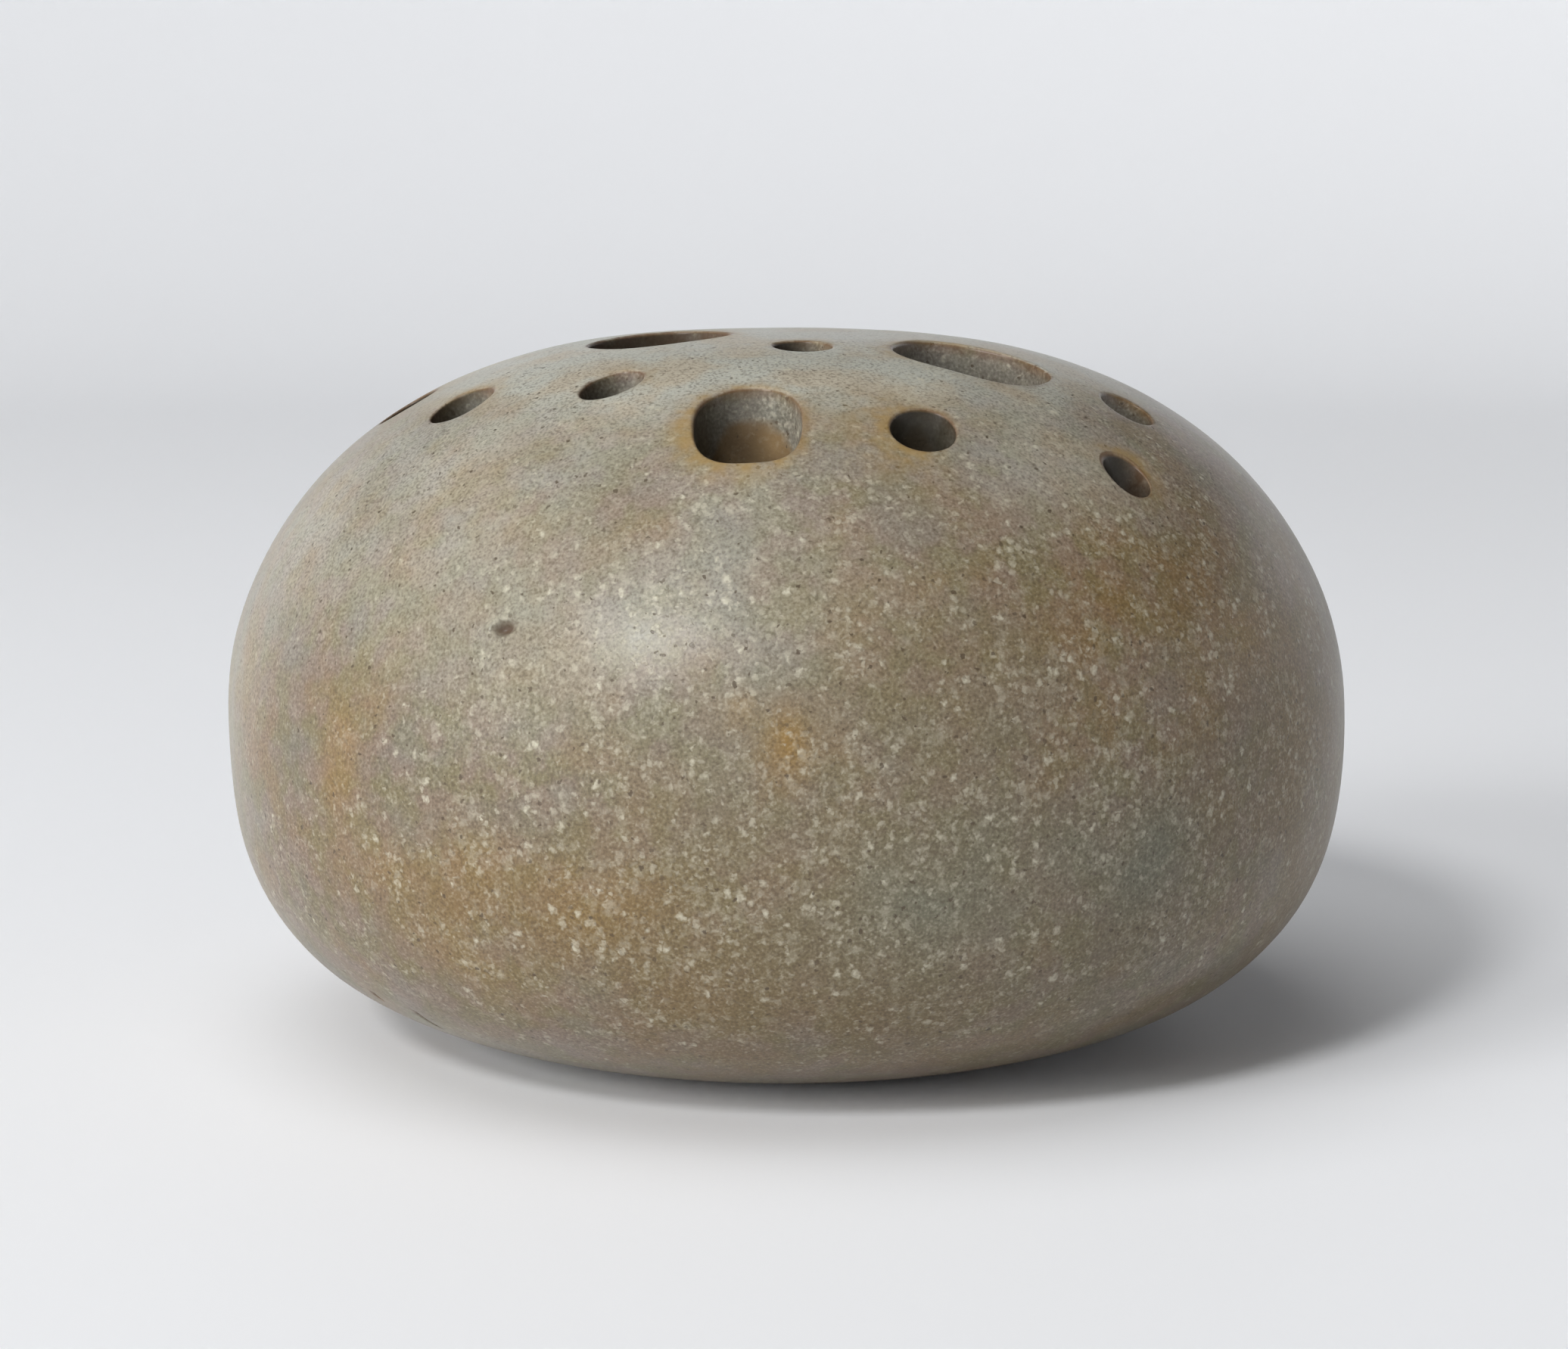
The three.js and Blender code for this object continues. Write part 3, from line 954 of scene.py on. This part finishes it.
def ground_colours(s, cloud):
    """The glaze under its flecks: hues that drift from one to another, and listed patches."""
    mottle = s.noise(MOTTLE_SIZE, 4, seed=2)
    drift = s.noise(DRIFT_SIZE, 3, seed=3)
    warm = s.noise(WARM_SIZE, 4, seed=12)
    colour = s.mix(s.ramp(mottle, 0.40, 0.60), MAUVE, OLIVE)
    colour = s.mix(s.ramp(drift, 0.40, 0.7, high=0.4), colour, GREIGE)
    colour = s.mix(s.ramp(warm, 0.49, 0.66, high=0.6), colour, TAN)
    colour = s.mix(s.ramp(warm, 0.48, 0.34, high=0.5), colour, BLUE_GREY)
    # The brown patches are partly painted shade on the right and low on the front.
    colour = s.mix(patchy(s, cloud, "brown", gain=0.9), colour, BROWN_OLIVE)
    colour = s.mix(patchy(s, cloud, "slate", gain=0.8), colour, SLATE_GREY)
    # The pale patches are partly painted light on the upper left, the left side and the crown.
    pale_drift = s.noise(PALE_DRIFT_SIZE, 4, seed=16)
    pale = s.mix(s.ramp(pale_drift, 0.42, 0.62), PALE_GREY, PALE_TAN)
    colour = s.mix(patchy(s, cloud, "pale", gain=0.85, least=0.7), colour, pale)
    return s.mix(patchy(s, cloud, "ochre", gain=0.85), colour, OCHRE_PATCH)


def glaze_flecks(s):
    """Soft ragged cream flecks, big and small, with a haze between them."""
    ragged = s.shifted(FLECK_PUSH, FLECK_PUSH_SIZE, seed=6)
    clusters = s.ramp(s.noise(CLUSTER_SIZE, 2, seed=7), 0.3, 0.7, low=0.45, high=1.25)
    density = s.times(s.field("flecked"), clusters, clamp=True)
    big = s.spots(ragged, BIG_FLECK_CELL, density, size=0.54, soft=0.34)
    small = s.spots(ragged, SMALL_FLECK_CELL, density, size=0.64, soft=0.32)
    haze = s.ramp(s.noise(HAZE_SIZE, 3, at=ragged, seed=13), 0.52, 0.72)
    fleck = s.math("MAXIMUM", big, s.times(small, 0.62))
    fleck = s.math("MAXIMUM", fleck, s.times(s.times(haze, density), 0.4))
    return s.times(fleck, s.ramp(s.noise(WEAR_SIZE, 2, seed=14), 0.25, 0.6, low=0.45))


def hole_colours(s, colour):
    """The glaze's colour with the blush round the holes, the thin lips, and the pit and cracks."""
    uneven = s.ramp(s.noise(BLUSH_SIZE, 3, seed=8), 0.3, 0.7, low=0.3, high=1.1)
    blush = s.times(s.field("stain"), uneven, clamp=True)
    colour = s.mix(s.times(blush, 0.75), colour, OCHRE_CLAY)
    uneven = s.ramp(s.noise(THIN_SIZE, 3, seed=10), 0.35, 0.6, low=0.4)
    thin = s.times(s.field("lip"), uneven, clamp=True)
    colour = s.mix(s.times(thin, 0.75), colour, RUST)
    return s.mix(s.times(s.field("mark"), 0.88), colour, PIT_BROWN)


def glaze_material():
    """Satin speckled glaze that thins to rust on the lips, over the bare clay of the inside."""
    s = Shader("speckled_glaze")
    cloud = s.noise(CLOUD_SIZE, 3, seed=1)
    grain = s.noise(GRAIN_SIZE, 3, seed=5)
    colour = ground_colours(s, cloud)
    colour = s.mix(s.times(s.field("wall"), 0.85), colour, WALL_GLAZE)
    colour = s.mix(s.ramp(grain, 0.45, 0.68, high=0.46), colour, IRON)
    colour = s.mix(s.ramp(grain, 0.48, 0.28, high=0.22), colour, CREAM)
    fleck = glaze_flecks(s)
    specks = iron_specks(s, share=0.85, size=0.30, soft=0.08)
    colour = s.mix(s.times(fleck, 0.78), colour, CREAM)
    colour = s.mix(s.times(specks, 0.8), colour, IRON)
    colour = hole_colours(s, colour)

    clay, _ = clay_colours(s)
    bare = s.field("bare")
    colour = s.mix(bare, colour, clay)
    # Painted shade inside the stem holes' walls, near-black where a hole is deep.
    colour = s.mix(s.field("dark"), colour, PAINTED_SHADE)
    sheen = s.ramp(cloud, 0.3, 0.7, low=0.30, high=0.36)
    roughness = s.math("ADD", sheen, s.times(fleck, 0.10))
    roughness = s.math("ADD", roughness, s.times(bare, 0.42), clamp=True)
    orange_peel = s.noise(ORANGE_PEEL_SIZE, 3, seed=11)
    height = s.math("ADD", s.times(fleck, 0.5), s.times(orange_peel, 0.42))
    height = s.math("SUBTRACT", height, s.times(specks, 0.4))
    height = s.math("ADD", height, s.times(s.times(grain, bare), 1.5))
    return s.finish(colour, roughness, height, GLAZE_BUMP)


def slab_material():
    s = Shader("bare_stoneware")
    colour, specks = clay_colours(s)
    grain = s.noise(CLAY_GRAIN_SIZE, 3, seed=4)
    roughness = s.ramp(grain, 0.3, 0.7, low=0.78, high=0.92)
    height = s.math("SUBTRACT", s.times(grain, 1.2), s.times(specks, 0.3))
    return s.finish(colour, roughness, height, SLAB_BUMP)


# ---- The stage, the lights and the camera ----

FLOOR_COLOUR = (0.87, 0.88, 0.90, 1)
FLOOR_ROUGHNESS = 0.6
FLOOR_POINTS = 128
FLOOR_RINGS = (0.2, 0.5, 1.0)
SWEEP_FLAT = 1.6
SWEEP_BEND = 1.1
SWEEP_STEPS = 12
SKY_COLOUR = (0.93, 0.96, 1.0, 1)
SKY_STRENGTH = 0.045
KEY_ANGLE = 10
LAMP_DISTANCE = 2.4
CAMERA_ELEVATION = 8
CAMERA_DISTANCE = 510 * MM
CAMERA_LENS = 76.09
CAMERA_SENSOR = 36
CAMERA_SHIFT = (-0.00136, 0.00088)


def floor_material():
    material = bpy.data.materials.new("pale_floor")
    material.use_nodes = True
    shader = material.node_tree.nodes["Principled BSDF"]
    shader.inputs["Base Color"].default_value = FLOOR_COLOUR
    shader.inputs["Roughness"].default_value = FLOOR_ROUGHNESS
    return material


def make_stage():
    """A round pale floor that curves up all round into a plain backdrop."""
    clay = Clay()
    turn = np.linspace(0, 2 * math.pi, FLOOR_POINTS, endpoint=False)
    path = [(out, 0) for out in (*FLOOR_RINGS, SWEEP_FLAT)]
    for a in np.linspace(0, math.pi / 2, SWEEP_STEPS + 1)[1:]:
        path.append((SWEEP_FLAT + SWEEP_BEND * math.sin(a), SWEEP_BEND * (1 - math.cos(a))))
    rows = [clay.add(ring(out, up, turn)) for out, up in path]
    clay.strips(rows)
    clay.cap(rows[0], (0, 0, 0))
    floor = clay.piece("pale_floor", {})
    floor.data.materials.append(floor_material())


def add_lamp(name, kind, azimuth, elevation, strength, size=None):
    """A lamp that faces the object, and its light. One with a size is a fill, which the glaze
    doesn't mirror."""
    light = bpy.data.lights.new(name, kind)
    light.energy = strength
    lamp = bpy.data.objects.new(name, light)
    a, e = math.radians(azimuth), math.radians(elevation)
    away = Vector((math.cos(a) * math.cos(e), math.sin(a) * math.cos(e), math.sin(e)))
    lamp.location = Vector((0, 0, BELLY_HEIGHT)) + LAMP_DISTANCE * away
    lamp.rotation_euler = away.to_track_quat("Z", "Y").to_euler()
    bpy.context.scene.collection.objects.link(lamp)
    if size:
        light.size = size
        lamp.visible_glossy = False
    return light


def make_lights():
    """A soft key from the front left, with a lower fill beside it and a weak one overhead."""
    key = add_lamp("key", "SUN", azimuth=-122.5, elevation=38, strength=1.37)
    key.angle = math.radians(KEY_ANGLE)
    add_lamp("front_left_fill", "AREA", azimuth=-140, elevation=17, strength=45, size=0.9)
    add_lamp("overhead_fill", "AREA", azimuth=-150, elevation=75, strength=24, size=2.0)
    world = bpy.data.worlds.new("studio")
    world.use_nodes = True
    sky = world.node_tree.nodes["Background"]
    sky.inputs["Color"].default_value = SKY_COLOUR
    sky.inputs["Strength"].default_value = SKY_STRENGTH
    bpy.context.scene.world = world
    bpy.context.scene.view_settings.view_transform = "Standard"


def make_camera():
    camera = bpy.data.objects.new("camera", bpy.data.cameras.new("camera"))
    camera.data.lens = CAMERA_LENS
    camera.data.sensor_width = CAMERA_SENSOR
    camera.data.shift_x, camera.data.shift_y = CAMERA_SHIFT
    e = math.radians(CAMERA_ELEVATION)
    aim = Vector((0, 0, shell_high.z / 2))
    camera.location = aim + CAMERA_DISTANCE * Vector((0, -math.cos(e), math.sin(e)))
    camera.rotation_euler = (math.pi / 2 - e, 0, 0)
    bpy.context.scene.collection.objects.link(camera)
    bpy.context.scene.camera = camera


make_camera()
make_stage()
make_lights()

shell = make_shell()
shell.data.materials.append(glaze_material())
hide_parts("pierced_shell")
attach(shell, "root")

slab = make_slab()
slab.data.materials.append(slab_material())
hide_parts("base_slab")
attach(slab, "root")
